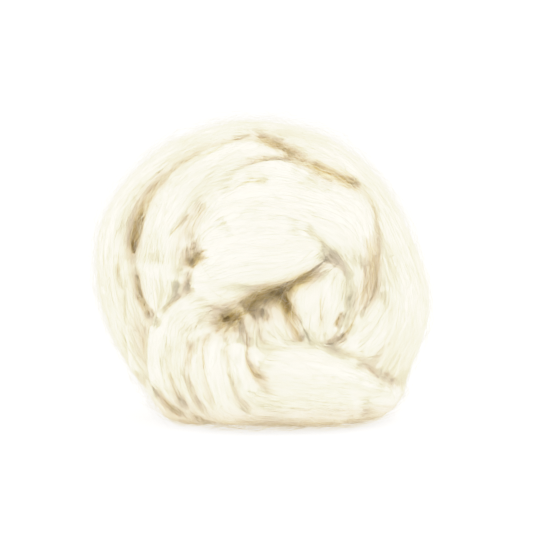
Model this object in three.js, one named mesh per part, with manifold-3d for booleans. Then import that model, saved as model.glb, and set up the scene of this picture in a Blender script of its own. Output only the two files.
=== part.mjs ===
// A hand-wound ball of combed tussah silk roving, resting on a small flat spot.
// Millimetres, +Z up, -Y is the open face of the ball where the laps tuck in.
// One continuous length of soft roving: a ring of outer wraps round the waist of
// the ball, an arch of inner laps that curls over a plump belly, and two lobes
// folded under at the base. Each lap is a chain of oval sections along a smooth
// centre line, and all the laps are joined into one solid.
import * as THREE from "three";
import { ConvexGeometry } from "three/addons/geometries/ConvexGeometry.js";
import { mergeVertices } from "three/addons/utils/BufferGeometryUtils.js";
import Module from "manifold-3d";

// Driving sizes
const BALL_CENTRE = new THREE.Vector3(0, 0, 60); // laps lie flat to a ball round this point
const CORE_CENTRE = new THREE.Vector3(0, 4, 60); // packed middle of the ball
const CORE_HALF = new THREE.Vector3(55, 35, 53); // its half sizes in X, Y and Z
const CORE_SIDES = [20, 12]; // facets round and up the packed middle
const SECTION_SIDES = 12; // corners of a lap's oval section
const STEPS_PER_ROW = 2; // sections between one table row and the next
const TIP_SHARE = 0.7; // a lap's rounded end stands out by this much of its half thickness
const LENGTH_OVERLAP = 0.12; // how far a length reaches into its neighbours, as a share of half thickness
const CUT_SIZE = 400; // block that trims the resting face flat at Z = 0
const TO_ORIGIN = [1.07, 0.8]; // moves the ball so that the origin is under its middle, X and Y
const CREAM = 0xf3ead2;

// Laps with a free start and finish. A row is one section: where its centre is,
// its half width along the ball's surface, and its half thickness across it.
const LAP_COLUMNS = ["x", "y", "z", "halfWidth", "halfThick"];
const LAPS = {
  outer_left: [
    [-20, -4, 2, 14, 8],
    [-42, -7, 18.9, 17, 9],
    [-54, -9, 39.1, 18, 9.5],
    [-59.8, -9.5, 62, 17, 9],
    [-57.7, -8, 81.4, 16, 8.5],
    [-45.6, -8, 97.6, 15.5, 8],
    [-29.3, -10, 107.3, 15, 7.5],
    [-15.3, -9, 112.2, 14, 7.5],
    [-3.2, -3, 109.3, 12, 7],
    [7.3, 8, 101.8, 10, 6],
  ],
  outer_right: [
    [-10.3, 3, 113.9, 10, 5],
    [0.5, -5, 113.2, 13, 6.5],
    [16.1, -9, 108.9, 15, 8],
    [30.9, -12, 100.4, 17, 9],
    [42, -15, 85.1, 19, 10],
    [49.6, -17, 67.5, 21.5, 10.5],
    [54.4, -18, 48.5, 22, 11],
    [48.8, -19, 30.9, 21, 12],
    [39.2, -18, 15.8, 18, 11.5],
    [27, -13, 4.5, 17, 10],
    [9, -12, 1.5, 17, 9],
    [-18, -9, 1.5, 15, 8],
  ],
  inner_right: [
    [51, -24, 66, 6, 5],
    [49.5, -29.5, 51, 9, 7],
    [44, -34, 38, 10, 7.5],
    [33.5, -37, 30, 9.5, 7.5],
    [20, -37, 26.5, 8.5, 7],
    [7, -33, 25, 6, 6],
  ],
  thin_left: [
    [-55, -15, 74.5, 2, 2],
    [-55.5, -19, 58.5, 4.5, 4],
    [-52, -20, 44, 5, 4.5],
    [-45.5, -20, 30.5, 5, 4],
  ],
  crescent: [
    [-30, -19, 28, 11, 7],
    [-37, -24, 41, 12.5, 7.5],
    [-40, -26.5, 54, 13, 8],
    [-41, -27.5, 68, 13, 8],
    [-37, -29.5, 86, 13, 8],
    [-27, -30, 99, 11.5, 7.5],
    [-14, -30, 106.5, 9, 7],
    [0, -28, 108, 7, 6],
    [17, -22, 103, 4, 4],
  ],
  arch: [
    [-29.5, -25, 62, 3, 3],
    [-24.5, -34, 78, 8, 6],
    [-15.5, -37, 90, 13, 8],
    [-2, -40, 93.5, 16, 9],
    [14, -40.5, 91.5, 17, 9],
    [29.5, -37, 85, 16, 9],
    [39, -29.5, 72, 13, 9],
    [42, -27.5, 57, 10.5, 8.5],
    [38.5, -27, 43, 9, 7],
    [27.5, -26, 31.5, 5, 4],
  ],
  belly: [
    [-28.5, -27, 64, 3, 3],
    [-21.5, -37, 68, 8, 8],
    [-8.5, -43, 73, 13.5, 11],
    [8, -44, 74.5, 13.5, 11],
    [19, -40, 76, 9.5, 8.5],
    [28, -33, 76, 3.5, 3.5],
  ],
  puff: [
    [-31, -31, 58, 3.5, 3.5],
    [-24, -38, 57, 8, 8],
    [-14, -40.5, 58.5, 8, 8.5],
    [-4, -39, 63, 8, 8],
    [9, -33, 66, 6, 6],
  ],
  tuck: [
    [26, -27.5, 67, 13.5, 8.5],
    [26.5, -31.5, 54, 18.5, 9],
    [25, -33.5, 42, 16.5, 8.5],
    [22, -31, 30, 10, 7],
  ],
  knuckle: [
    [1, -29, 55, 10, 6],
    [2, -33, 46, 10, 8],
    [5.5, -36, 37, 10.5, 9],
    [11, -37, 30, 11, 8],
  ],
  shoulder: [
    [-13, -24, 46, 3, 4],
    [-20, -36, 48, 5.5, 6],
    [-28, -38, 48.5, 7.5, 8],
    [-34.5, -37, 43, 9, 9],
    [-36.5, -36.5, 32, 9, 10],
    [-35, -34, 17, 9.5, 10],
    [-29, -25, 3, 9.5, 9],
    [-20, -14, -5, 9, 8],
  ],
  pleated_lobe: [
    [-12, -24, 47, 7, 4],
    [-14, -38, 41.5, 11.5, 7],
    [-16.5, -43, 33, 15, 10],
    [-16.5, -45, 24, 16, 11.5],
    [-12.5, -45, 15, 16, 11.5],
    [-1, -42.5, 11.5, 13, 10.5],
    [12, -40.5, 10.5, 10, 9.5],
    [26, -37, 10, 7, 8],
  ],
  base_lobe: [
    [-10, -30, 16, 13, 10],
    [3, -39.5, 18.5, 17, 12],
    [17.5, -41, 17, 18.5, 12.5],
    [31.5, -36.5, 14.5, 15, 11.5],
    [43.5, -28, 12, 9.5, 8.5],
    [53, -15, 13.5, 4, 4],
  ],
  base_strip: [
    [-48.5, -14, 21, 5, 4],
    [-40.5, -20, 11, 6, 4.5],
    [-31, -22, 4, 7, 5],
    [-18.5, -15, -1, 8, 5],
  ],
};

// Laps that run round the Y axis through the ball's centre: the turn in degrees
// from +X towards +Z, the centre line's radius, and the rest as above.
const TURN_COLUMNS = ["turn", "radius", "y", "halfWidth", "halfThick"];
const WRAPS = {
  middle_wrap: [
    [0, 52.5, 12, 17, 9.5],
    [45, 50, 13, 17, 9],
    [90, 51.4, 15, 16, 9],
    [135, 56.7, 14, 16, 9],
    [180, 59.2, 12, 17, 9.5],
    [225, 56, 11, 17, 9.5],
    [270, 60, 13, 18, 10],
    [315, 61, 14, 17, 10],
    [360, 52.5, 12, 17, 9.5],
  ],
  back_wrap: [
    [0, 49, 36, 14, 10],
    [60, 48, 34, 14, 10],
    [120, 50, 33, 15, 10],
    [180, 51, 34, 14, 10],
    [240, 51, 36, 14, 10],
    [300, 53, 37, 14, 10],
    [360, 49, 36, 14, 10],
  ],
  back_spiral: [
    [110, 53, 22, 8, 6],
    [170, 47, 33, 14, 8.5],
    [230, 41, 39, 15.5, 9],
    [290, 37, 42, 15.5, 9.5],
    [350, 32, 44, 15, 9],
    [410, 27, 46, 15.5, 9],
    [470, 23, 46.5, 15, 9],
    [530, 18, 47, 14.5, 9],
    [590, 13, 47.5, 13.5, 9],
    [650, 8.5, 47, 12, 9],
    [710, 5, 43, 9, 8],
  ],
};
const WRAP_STEP_DEGREES = 20; // sections along a wrap

const wasm = await Module();
wasm.setup();

// A closed geometry as a solid.
function solidOf(geometry) {
  const bare = new THREE.BufferGeometry().setAttribute(
    "position",
    geometry.getAttribute("position"),
  );
  if (geometry.index) bare.setIndex(geometry.index);
  const merged = mergeVertices(bare, 1e-4);
  return new wasm.Manifold(
    new wasm.Mesh({
      numProp: 3,
      vertProperties: new Float32Array(merged.attributes.position.array),
      triVerts: new Uint32Array(merged.index.array),
    }),
  );
}

// A smooth run of rows through the table rows, every column alike.
function smoothRows(rows, stepsFor) {
  const out = [];
  const mirrored = (a, b) => a.map((v, c) => 2 * v - b[c]);
  const wrapRow = (row, degrees) => [row[0] + degrees, ...row.slice(1)];
  const closed =
    Math.abs(rows.at(-1)[0] - rows[0][0]) === 360 &&
    rows[0].slice(1).every((v, c) => v === rows.at(-1)[c + 1]);
  const before = closed ? wrapRow(rows.at(-2), -360) : mirrored(rows[0], rows[1]);
  const after = closed ? wrapRow(rows[1], 360) : mirrored(rows.at(-1), rows.at(-2));
  const ext = [before, ...rows, after];
  for (let i = 0; i < rows.length - 1; i++) {
    const steps = stepsFor(rows[i], rows[i + 1]);
    const [p0, p1, p2, p3] = ext.slice(i, i + 4);
    for (let k = 0; k < steps; k++) {
      const s = k / steps;
      out.push(
        p1.map(
          (_, c) =>
            0.5 *
            (2 * p1[c] +
              (p2[c] - p0[c]) * s +
              (2 * p0[c] - 5 * p1[c] + 4 * p2[c] - p3[c]) * s * s +
              (3 * p1[c] - p0[c] - 3 * p2[c] + p3[c]) * s * s * s),
        ),
      );
    }
  }
  out.push(rows.at(-1));
  return { rows: out, closed };
}

const named = (columns, row) =>
  Object.fromEntries(columns.map((name, c) => [name, row[c]]));

// A section's centre and half sizes, from a lap row or a wrap row.
function lapSection(row) {
  const { x, y, z, halfWidth, halfThick } = named(LAP_COLUMNS, row);
  return { centre: new THREE.Vector3(x, y, z), halfWidth, halfThick };
}
function wrapSection(row) {
  const { turn, radius, y, halfWidth, halfThick } = named(TURN_COLUMNS, row);
  const a = THREE.MathUtils.degToRad(turn);
  return {
    centre: new THREE.Vector3(
      radius * Math.cos(a),
      y,
      BALL_CENTRE.z + radius * Math.sin(a),
    ),
    halfWidth,
    halfThick,
  };
}

// The corners of each oval section: flat to the ball, square to the centre line.
function ovals(sections, closed) {
  const last = sections.length - 1;
  return sections.map(({ centre, halfWidth, halfThick }, i) => {
    const back = sections[i > 0 ? i - 1 : closed ? last - 1 : 0].centre;
    const front = sections[i < last ? i + 1 : closed ? 1 : last].centre;
    const along = front.clone().sub(back).normalize();
    const out = centre.clone().sub(BALL_CENTRE);
    out.addScaledVector(along, -out.dot(along)).normalize();
    const across = along.clone().cross(out);
    const corners = [];
    for (let k = 0; k < SECTION_SIDES; k++) {
      const a = (2 * Math.PI * k) / SECTION_SIDES;
      corners.push(
        centre
          .clone()
          .addScaledVector(across, halfWidth * Math.cos(a))
          .addScaledVector(out, halfThick * Math.sin(a)),
      );
    }
    return { centre, along, halfThick, corners };
  });
}

// A lap is a chain of short lengths, each the skin stretched over two sections
// and a point past each end: inside the next length, or the lap's rounded tip.
function lapSolids(sections, closed) {
  const rings = ovals(sections, closed);
  const last = rings.length - 1;
  const past = (ring, end, side) =>
    ring.centre
      .clone()
      .addScaledVector(
        ring.along,
        side * ring.halfThick * (end && !closed ? TIP_SHARE : LENGTH_OVERLAP),
      );
  const lengths = [];
  for (let i = 0; i < last; i++)
    lengths.push(
      solidOf(
        new ConvexGeometry([
          ...rings[i].corners,
          ...rings[i + 1].corners,
          past(rings[i], i === 0, -1),
          past(rings[i + 1], i + 1 === last, 1),
        ]),
      ),
    );
  return lengths;
}

const pieces = [];
for (const rows of Object.values(LAPS)) {
  const run = smoothRows(rows, () => STEPS_PER_ROW);
  pieces.push(...lapSolids(run.rows.map(lapSection), run.closed));
}
for (const rows of Object.values(WRAPS)) {
  const run = smoothRows(rows, (a, b) =>
    Math.max(1, Math.round((b[0] - a[0]) / WRAP_STEP_DEGREES)),
  );
  pieces.push(...lapSolids(run.rows.map(wrapSection), run.closed));
}

// The packed middle closes the ball behind the laps.
const core = new THREE.SphereGeometry(1, ...CORE_SIDES)
  .scale(CORE_HALF.x, CORE_HALF.y, CORE_HALF.z)
  .translate(CORE_CENTRE.x, CORE_CENTRE.y, CORE_CENTRE.z);
pieces.push(solidOf(core));

// The block under the surface, taken away to leave the flat resting face.
const under = solidOf(
  new THREE.BoxGeometry(CUT_SIZE, CUT_SIZE, CUT_SIZE).translate(0, 0, -CUT_SIZE / 2),
);
// Small pockets shut in between the laps are packed fibre, so only the outer skin is kept.
const ball = wasm.Manifold.union(pieces)
  .subtract(under)
  .decompose()
  .reduce((a, b) => (b.volume() > a.volume() ? b : a));

const made = ball.getMesh();
const geometry = new THREE.BufferGeometry()
  .setAttribute("position", new THREE.BufferAttribute(new Float32Array(made.vertProperties), 3))
  .setIndex(new THREE.BufferAttribute(new Uint32Array(made.triVerts), 1));
geometry.computeVertexNormals();

const silk = new THREE.MeshStandardMaterial({
  color: CREAM,
  roughness: 0.55,
  metalness: 0,
  flatShading: true,
});
const roving = new THREE.Mesh(geometry, silk);
roving.name = "roving_ball";
roving.position.set(TO_ORIGIN[0], TO_ORIGIN[1], 0);

const group = new THREE.Group();
group.add(roving);
export default group;
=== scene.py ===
import math

import bpy
import numpy as np
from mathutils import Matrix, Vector


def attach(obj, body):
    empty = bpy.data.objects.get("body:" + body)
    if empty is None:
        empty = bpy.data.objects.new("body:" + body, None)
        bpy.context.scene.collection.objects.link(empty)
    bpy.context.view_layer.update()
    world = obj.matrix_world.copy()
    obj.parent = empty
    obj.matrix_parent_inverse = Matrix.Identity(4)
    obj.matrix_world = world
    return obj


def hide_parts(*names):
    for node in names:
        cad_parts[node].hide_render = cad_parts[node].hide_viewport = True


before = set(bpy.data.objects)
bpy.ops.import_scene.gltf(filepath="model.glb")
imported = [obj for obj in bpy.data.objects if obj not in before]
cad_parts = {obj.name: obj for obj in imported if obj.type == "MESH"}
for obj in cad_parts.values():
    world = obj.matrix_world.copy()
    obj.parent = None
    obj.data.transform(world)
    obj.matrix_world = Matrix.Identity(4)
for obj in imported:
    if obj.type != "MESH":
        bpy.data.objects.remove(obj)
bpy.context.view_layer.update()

BALL = np.array([0.0, 0.0, 60.0])  # the laps lie flat to a ball round this point
TO_ORIGIN = np.array([1.07, 0.8, 0.0])
SEED = 41

# ---------------------------------------------------------------- tables
# Laps with free ends. Columns: x, y, z of the section's centre, half width along
# the ball's surface, half thickness across it.
LAPS = {
    "outer_left": [
        (-20, -4, 2, 14, 8), (-42, -7, 18.9, 17, 9), (-54, -9, 39.1, 18, 9.5),
        (-59.8, -9.5, 62, 17, 9), (-57.7, -8, 81.4, 16, 8.5), (-45.6, -8, 97.6, 15.5, 8),
        (-29.3, -10, 107.3, 15, 7.5), (-15.3, -9, 112.2, 14, 7.5), (-3.2, -3, 109.3, 12, 7),
        (7.3, 8, 101.8, 10, 6),
    ],
    "outer_right": [
        (-10.3, 3, 113.9, 10, 5), (0.5, -5, 113.2, 13, 6.5), (16.1, -9, 108.9, 15, 8),
        (30.9, -12, 100.4, 17, 9), (42, -15, 85.1, 19, 10), (49.6, -17, 67.5, 21.5, 10.5),
        (54.4, -18, 48.5, 22, 11), (48.8, -19, 30.9, 21, 12), (39.2, -18, 15.8, 18, 11.5),
        (27, -13, 4.5, 17, 10), (9, -12, 1.5, 17, 9), (-18, -9, 1.5, 15, 8),
    ],
    "inner_right": [
        (51, -24, 66, 6, 5), (49.5, -29.5, 51, 9, 7), (44, -34, 38, 10, 7.5),
        (33.5, -37, 30, 9.5, 7.5), (20, -37, 26.5, 8.5, 7), (7, -33, 25, 6, 6),
    ],
    "thin_left": [
        (-55, -15, 74.5, 2, 2), (-55.5, -19, 58.5, 4.5, 4), (-52, -20, 44, 5, 4.5),
        (-45.5, -20, 30.5, 5, 4),
    ],
    "crescent": [
        (-30, -19, 28, 11, 7), (-37, -24, 41, 12.5, 7.5), (-40, -26.5, 54, 13, 8),
        (-41, -27.5, 68, 13, 8), (-37, -29.5, 86, 13, 8), (-27, -30, 99, 11.5, 7.5),
        (-14, -30, 106.5, 9, 7), (0, -28, 108, 7, 6), (17, -22, 103, 4, 4),
    ],
    "arch": [
        (-29.5, -25, 62, 3, 3), (-24.5, -34, 78, 8, 6), (-15.5, -37, 90, 13, 8),
        (-2, -40, 93.5, 16, 9), (14, -40.5, 91.5, 17, 9), (29.5, -37, 85, 16, 9),
        (39, -29.5, 72, 13, 9), (42, -27.5, 57, 10.5, 8.5), (38.5, -27, 43, 9, 7),
        (27.5, -26, 31.5, 5, 4),
    ],
    "belly": [
        (-28.5, -27, 64, 3, 3), (-21.5, -37, 68, 8, 8), (-8.5, -43, 73, 13.5, 11),
        (8, -44, 74.5, 13.5, 11), (19, -40, 76, 9.5, 8.5), (28, -33, 76, 3.5, 3.5),
    ],
    "puff": [
        (-31, -31, 58, 3.5, 3.5), (-24, -38, 57, 8, 8), (-14, -40.5, 58.5, 8, 8.5),
        (-4, -39, 63, 8, 8), (9, -33, 66, 6, 6),
    ],
    "tuck": [
        (26, -27.5, 67, 13.5, 8.5), (26.5, -31.5, 54, 18.5, 9), (25, -33.5, 42, 16.5, 8.5),
        (22, -31, 30, 10, 7),
    ],
    "knuckle": [
        (1, -29, 55, 10, 6), (2, -33, 46, 10, 8), (5.5, -36, 37, 10.5, 9),
        (11, -37, 30, 11, 8),
    ],
    "shoulder": [
        (-13, -24, 46, 3, 4), (-20, -36, 48, 5.5, 6), (-28, -38, 48.5, 7.5, 8),
        (-34.5, -37, 43, 9, 9), (-36.5, -36.5, 32, 9, 10), (-35, -34, 17, 9.5, 10),
        (-29, -25, 3, 9.5, 9), (-20, -14, -5, 9, 8),
    ],
    "pleated_lobe": [
        (-12, -24, 47, 7, 4), (-14, -38, 41.5, 11.5, 7), (-16.5, -43, 33, 15, 10),
        (-16.5, -45, 24, 16, 11.5), (-12.5, -45, 15, 16, 11.5), (-1, -42.5, 11.5, 13, 10.5),
        (12, -40.5, 10.5, 10, 9.5), (26, -37, 10, 7, 8),
    ],
    "base_lobe": [
        (-10, -30, 16, 13, 10), (3, -39.5, 18.5, 17, 12), (17.5, -41, 17, 18.5, 12.5),
        (31.5, -36.5, 14.5, 15, 11.5), (43.5, -28, 12, 9.5, 8.5), (53, -15, 13.5, 4, 4),
    ],
    "base_strip": [
        (-48.5, -14, 21, 5, 4), (-40.5, -20, 11, 6, 4.5), (-31, -22, 4, 7, 5),
        (-18.5, -15, -1, 8, 5),
    ],
}
# Laps round the Y axis. Columns: turn in degrees from +X towards +Z, radius of the
# centre line, y, half width, half thickness.
WRAPS = {
    "middle_wrap": [
        (0, 52.5, 12, 17, 9.5), (45, 50, 13, 17, 9), (90, 51.4, 15, 16, 9),
        (135, 56.7, 14, 16, 9), (180, 59.2, 12, 17, 9.5), (225, 56, 11, 17, 9.5),
        (270, 60, 13, 18, 10), (315, 61, 14, 17, 10), (360, 52.5, 12, 17, 9.5),
    ],
    "back_wrap": [
        (0, 49, 36, 14, 10), (60, 48, 34, 14, 10), (120, 50, 33, 15, 10),
        (180, 51, 34, 14, 10), (240, 51, 36, 14, 10), (300, 53, 37, 14, 10),
        (360, 49, 36, 14, 10),
    ],
    "back_spiral": [
        (110, 53, 22, 8, 6), (170, 47, 33, 14, 8.5), (230, 41, 39, 15.5, 9),
        (290, 37, 42, 15.5, 9.5), (350, 32, 44, 15, 9), (410, 27, 46, 15.5, 9),
        (470, 23, 46.5, 15, 9), (530, 18, 47, 14.5, 9), (590, 13, 47.5, 13.5, 9),
        (650, 8.5, 47, 12, 9), (710, 5, 43, 9, 8),
    ],
}
# How each lap is combed and pressed. Columns: sections along it, depth of its soft
# locks as a share of its half thickness, how softly it runs into the laps before it (mm)
# and how deep the line between them is drawn in (mm).
# The order is the order of winding, from the inside out.
COMBED = {
    "back_spiral": (240, 0.07, 3.5, 0.6),
    "back_wrap": (170, 0.07, 3.5, 0.6),
    "middle_wrap": (210, 0.07, 3.5, 0.6),
    "outer_left": (120, 0.07, 2.5, 0.7),
    "outer_right": (130, 0.07, 2.5, 1.0),
    "inner_right": (70, 0.07, 4.0, 0.5),
    "thin_left": (44, 0.06, 1.8, 0.8),
    "base_strip": (40, 0.06, 1.8, 1.0),
    "crescent": (90, 0.07, 1.6, 1.3),
    "tuck": (50, 0.08, 2.5, 0.9),
    "arch": (110, 0.07, 2.0, 1.0),
    "belly": (70, 0.06, 2.5, 0.8),
    "puff": (50, 0.06, 2.5, 1.0),
    "knuckle": (40, 0.08, 1.8, 1.0),
    "shoulder": (84, 0.06, 2.0, 0.8),
    "pleated_lobe": (100, 0.06, 4.0, 0.5),
    "base_lobe": (90, 0.06, 2.0, 0.8),
}
# Where a lap runs more softly into the others. Columns: lap, mm added, then the
# heights, and the places along X, at which the softness starts and is whole.
SOFTER = [
    ("belly", 7.0, (68, 82), None),
    ("arch", 13.0, (74, 64), (42, 36)),
    ("base_lobe", 4.0, (22, 32), (30, 20)),
    ("arch", 2.0, (66, 74), (-10, -20)),
    ("puff", 8.0, (56, 62), None),
    ("shoulder", 1.0, (46, 54), None),
    ("crescent", 3.0, (74, 54), (-36, -46)),
    ("outer_right", 5.0, (104, 116), None),
    ("base_lobe", 9.0, (21, 11), None),
    ("pleated_lobe", 3.0, (26, 12), None),
]
# The inside of the ball, an ellipsoid: centre and half sizes.
CORE = ((0, 4, 60), (55, 35, 53))
# Loose fibre packed into hollows between laps. Columns: points along it, half thickness,
# how softly it runs into the laps (mm).
PACKING = [
    (((25, -38.5, 72), (29.5, -39.5, 68.5), (34, -37.5, 61.5), (36.5, -34.5, 53)), 5.0, 6.0),
    (((-7, -34, 50), (-1, -33, 52.5)), 3.0, 5.0),
    (((-35, -34, 53.5), (-31, -35.5, 57.5)), 3.2, 4.0),
    (((-24, 38, 86), (-31, 37, 80)), 6.5, 7.0),
    (((0, 42, 69), (5, 42, 67)), 5.0, 6.0),
]
# Grooves, pleats and tucks drawn into the surface. Columns: points along each, half width,
# depth, and how much painted shade, tan to brown, goes on the fibre in it, from 0 to 1.
TUCKS = [
    (((-37.4, -46.8, 38), (-39, -46, 29.1), (-35.9, -45.2, 17.4),
      (-31.3, -41.6, 8.9)), 1.5, 1.7, 0.1),
    (((-28.3, -46, 37.9), (-30.2, -48, 28.6), (-29.8, -48.8, 21.5), (-26.7, -47.6, 12.6),
      (-23.1, -46.8, 7.7)), 1.5, 1.9, 0.12),
    (((-19.5, -48.8, 41.8), (-23.9, -48, 36.5), (-24.6, -52, 29.9), (-22.9, -54, 20.7),
      (-19.8, -53.2, 10.3)), 1.5, 2, 0.13),
    (((-14, -48.8, 41.4), (-15.5, -54.8, 33), (-13.8, -58.4, 25.6), (-11.1, -59.2, 16.3),
      (-5.6, -56.4, 9.6)), 1.5, 1.9, 0.12),
    (((-7.3, -46.8, 43.5), (-6.9, -49.6, 37.5), (-6.8, -55.6, 29.6), (-3.7, -55.6, 24.1),
      (2.2, -55.6, 22.1)), 1.6, 2.2, 0.42),
    (((-17.6, -46.8, 42.2), (-10.6, -45, 43.4)), 5, 2, 0.34),
    (((-15, -41.6, 44.9), (-10.6, -44.4, 46.4)), 2.6, 3.8, 1),
    (((-13.5, -44, 45.2), (-18, -46, 43.8), (-23, -45, 43.2)), 1.3, 1, 0.45),
    (((-13, -44, 45), (-17, -46.5, 42.5), (-20, -47.5, 39.5)), 1.2, 1, 0.45),
    (((-12.5, -44, 45), (-14, -47.5, 41.5), (-15, -50, 38)), 1.2, 1, 0.45),
    (((-11.5, -44, 45), (-9.5, -47, 41.5), (-8.5, -49, 38)), 1.2, 1, 0.45),
    (((-11.5, -44, 46), (-8, -43, 47.5), (-4, -40, 49.5)), 2, 0.8, 0.62),
    (((-9.7, -44.4, 47.2), (-5, -36.4, 51), (-0.2, -35, 52.9), (7.5, -29.2, 55.7)), 2.3, 0.8, 0.56),
    (((0, -33.6, 53), (7.5, -29.2, 55.7), (15.8, -41.6, 61.7), (21.5, -39.5, 65)), 2.4, 1, 0.74),
    # The rows below with a depth of 0.2 or 0.3 mm are nearly flat: they paint shade under the belly, in
    # the cavity under it and in the hollow at its right tip.
    (((-10.6, -42, 49.1), (-5.8, -42, 53.2), (-1, -42, 57.2), (7, -42, 57.6),
      (14.2, -42, 61.6), (20.2, -41, 64.4)), 4.2, 0.2, 0.5),
    (((1, -34, 52), (5, -31, 54), (9, -30, 55.5)), 2.8, 0.3, 0.62),
    (((-1, -38.8, 47.8), (0.6, -40.8, 45.6)), 1.7, 0.9, 0.36),
    (((26, -43, 70), (31, -42, 66)), 3, 0.2, 0.36),
    (((7.2, -29.2, 54.9), (10.4, -40, 49.2), (15, -43.2, 40.7)), 2.3, 0.9, 0.64),
    (((-28.8, -42.4, 67.8), (-25.6, -45.2, 70.4)), 3.0, 1.6, 0.58),
    (((-28.8, -43.2, 67.1), (-26.8, -44.4, 70)), 1.8, 2.8, 1),
    (((-28, -43, 68.5), (-28.5, -42, 73), (-28.3, -41, 77)), 1.2, 0.7, 0.42),
    (((-27.5, -44, 69.5), (-25, -45.5, 72), (-21.5, -47, 73.5)), 1.2, 0.7, 0.42),
    (((-27, -44.5, 68.5), (-24, -46, 69.6), (-20, -47.5, 70)), 1.2, 0.6, 0.35),
    (((-28.4, -44, 65.6), (-30.4, -42.4, 60.6), (-31.4, -38.8, 55.5)), 1.5, 1.4, 0.25),
    (((-32.2, -38.8, 55.1), (-29.6, -43.2, 56.7)), 1.5, 1.2, 0.4),
    (((-53.1, -23.2, 76), (-53.4, -18.8, 66.6)), 1.2, 1.8, 0.55),
    (((-37.5, -23.6, 103.5), (-45.8, -23.2, 94), (-50.3, -22.4, 84.1),
      (-52.6, -18.8, 72.8)), 3.2, 0.8, 0.34),
    (((-46.7, -24, 94.7), (-42.6, -24, 98.8), (-37.7, -24, 102.9), (-32.8, -24, 106.2),
      (-26.3, -23, 109.5), (-17.6, -20, 113.1), (-10, -19, 116), (-3, -18, 118)), 1.6, 0.9, 0.42),
    (((-30.6, -38, 74.6), (-29.8, -39, 81.7), (-26.2, -40, 87.7), (-22.3, -41, 92.9)), 2.6, 0.6, 0.2),
    (((-51.8, -24.8, 63.9), (-49.7, -26.8, 52.2), (-45.5, -29.2, 43.9)), 1.3, 1.2, 0.3),
    (((-46.3, -29.2, 45.6), (-43.3, -40.8, 43.6)), 1.8, 1.6, 0.35),
    (((-43.3, -40, 46), (-36.8, -43.2, 51.5), (-31.4, -38.8, 55.5)), 1.3, 1.4, 0.3),
    (((-38.5, -40, 77.2), (-34.4, -41.6, 82.2), (-29.3, -40.8, 88.1)), 0.9, 1, 0.32),
    (((-18.5, -43.2, 95.8), (-12.9, -44.4, 98.3), (-5.7, -46, 100.4),
      (3.8, -47.6, 99.7)), 2, 0.9, 0.1),
    (((7.7, -55.6, 83.1), (17.1, -54.8, 81.1), (22.7, -52, 76.1),
      (24, -46, 71.3)), 1.9, 1.1, 0.1),
    (((-5.1, -18.8, 117.6), (-0.6, -18, 115.5), (4.7, -18, 112.6), (10.3, -27, 108.8),
      (13.5, -30, 107), (19.8, -34, 103.8), (26.6, -34, 101), (39.4, -29, 95.7)), 3, 1.7, 0.78),
    (((-3.5, -11.6, 124), (-1.8, -18, 118.4)), 3, 0.7, 0.4),
    (((39.4, -31.2, 95.2), (44.5, -33.6, 87.3), (45.6, -36.4, 76.2), (45.1, -37.2, 65),
      (43.5, -37.2, 53.7), (36.8, -35.6, 45.1)), 1.4, 1.1, 0.35),
    (((41.5, -40, 80), (42.5, -37, 66), (41, -35, 57), (36.5, -33, 48)), 4.2, 0.5, 0.42),
    (((35.3, -32.8, 51.2), (36, -34, 45.3), (30.9, -42.4, 37.4),
      (22.8, -46, 33.9)), 1.1, 1.5, 0.46),
    (((28.3, -41, 42.7), (30.8, -40, 46.9)), 0.9, 1.6, 0.7),
    (((23.5, -42, 57), (22.6, -43, 49), (22.5, -43.5, 40.6)), 2, 0.8, 0.2),
    (((51.7, -34.4, 18.3), (48.8, -36.4, 21)), 1.5, 2, 0.5),
    (((-58.3, -25.6, 71.3), (-59.4, -26.8, 62.4), (-57.8, -26.8, 54.3)), 1.2, 0.8, 0.2),
    (((-45, -38, 18), (-40.1, -40.8, 11.6), (-31.8, -37.2, 3.8)), 2, 2.2, 0.4),
    (((22.8, -47.6, 33.7), (34.7, -46, 30.7), (44.6, -40, 25.1)), 1.4, 0.8, 0.12),
]


# ---------------------------------------------------------------- small maths
def noise(p, seed):
    """Smooth random values from -1 to 1 at points p, an array whose last axis is 3."""
    i = np.floor(p).astype(np.int64)
    f = p - i
    f = f * f * f * (f * (f * 6 - 15) + 10)
    out = np.zeros(p.shape[:-1])
    for corner in range(8):
        d = np.array([corner & 1, corner >> 1 & 1, corner >> 2 & 1])
        c = i + d
        h = (c[..., 0] * 73856093) ^ (c[..., 1] * 19349663) ^ (c[..., 2] * 83492791)
        h = (h ^ (seed * 2654435761)) & 0xFFFFFFFF
        h = ((h ^ (h >> 13)) * 1274126177) & 0xFFFFFFFF
        h = (h ^ (h >> 16)) & 0xFFFF
        w = np.prod(np.where(d == 1, f, 1 - f), axis=-1)
        out += w * (h / 32767.5 - 1)
    return out


def unit(v):
    return v / np.maximum(np.linalg.norm(v, axis=-1, keepdims=True), 1e-9)


def ease(x):
    x = np.clip(x, 0, 1)
    return x * x * (3 - 2 * x)


def join(a, b, soft):
    """The nearer of two distances, rounded where they are within soft of each other."""
    h = np.maximum(soft - np.abs(a - b), 0) / soft
    return np.minimum(a, b) - h * h * soft / 4


def spline(rows, n, closed):
    """n rows on a smooth run through the table rows, every column alike."""
    rows = np.asarray(rows, float)
    if closed:
        turn = np.zeros(rows.shape[1])
        turn[0] = 360
        ext = np.vstack([rows[-2] - turn, rows, rows[1] + turn])
        t = np.linspace(0, len(rows) - 1, n, endpoint=False)
    else:
        ext = np.vstack([2 * rows[0] - rows[1], rows, 2 * rows[-1] - rows[-2]])
        t = np.linspace(0, len(rows) - 1, n)
    i = np.minimum(t.astype(int), len(rows) - 2)
    s = (t - i)[:, None]
    p0, p1, p2, p3 = ext[i], ext[i + 1], ext[i + 2], ext[i + 3]
    return 0.5 * (
        2 * p1
        + (p2 - p0) * s
        + (2 * p0 - 5 * p1 + 4 * p2 - p3) * s**2
        + (3 * p1 - p0 - 3 * p2 + p3) * s**3
    )


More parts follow.
